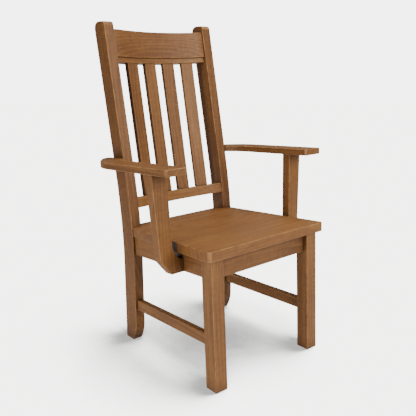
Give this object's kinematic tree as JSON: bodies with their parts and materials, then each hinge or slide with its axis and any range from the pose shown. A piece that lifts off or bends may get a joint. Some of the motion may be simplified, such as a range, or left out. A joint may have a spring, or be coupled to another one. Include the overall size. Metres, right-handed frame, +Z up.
{
  "type": "wooden armchair",
  "caption": "Wooden dining armchair with a tall raked slatted back, a dished solid seat, swept board arms on curved arm posts and low side stretchers.",
  "frame": {"origin": "on the floor, under the middle of the bounding box; x = 0 is the plane of symmetry", "axes": "+Z up, the chair faces -Y, +X to the right as seen from the front"},
  "size_m": [0.68, 0.644, 1.123],
  "materials": {
    "frame_wood": "satin lacquered medium brown hardwood",
    "seat_wood": "satin lacquered medium brown hardwood",
    "hidden_wood": "unfinished hardwood",
    "steel": "zinc-plated wood screw"
  },
  "bodies": {
    "root": {"arm_dowel_front_left": "hidden_wood", "arm_dowel_front_right": "hidden_wood", "arm_dowel_rear_left": "hidden_wood", "arm_dowel_rear_right": "hidden_wood", "arm_left": "frame_wood", "arm_right": "frame_wood", "arm_post_left": "frame_wood", "arm_post_right": "frame_wood", "arm_post_screw_lower_left": "steel", "arm_post_screw_lower_right": "steel", "arm_post_screw_upper_left": "steel", "arm_post_screw_upper_right": "steel", "back_slat_1": "frame_wood", "back_slat_2": "frame_wood", "back_slat_3": "frame_wood", "back_slat_4": "frame_wood", "block_screw_cross_front_left": "steel", "block_screw_cross_front_right": "steel", "block_screw_cross_rear_left": "steel", "block_screw_cross_rear_right": "steel", "block_screw_side_front_left": "steel", "block_screw_side_front_right": "steel", "block_screw_side_rear_left": "steel", "block_screw_side_rear_right": "steel", "corner_block_front_left": "hidden_wood", "corner_block_front_right": "hidden_wood", "corner_block_rear_left": "hidden_wood", "corner_block_rear_right": "hidden_wood", "crest_rail": "frame_wood", "front_apron": "frame_wood", "front_leg_left": "frame_wood", "front_leg_right": "frame_wood", "lower_back_rail": "frame_wood", "rear_apron": "frame_wood", "rear_post_left": "frame_wood", "rear_post_right": "frame_wood", "seat": "seat_wood", "seat_screw_front_left": "steel", "seat_screw_front_right": "steel", "seat_screw_rear_left": "steel", "seat_screw_rear_right": "steel", "side_apron_left": "frame_wood", "side_apron_right": "frame_wood", "side_stretcher_left": "frame_wood", "side_stretcher_right": "frame_wood", "upper_back_rail": "frame_wood"}
  },
  "joints": []
}
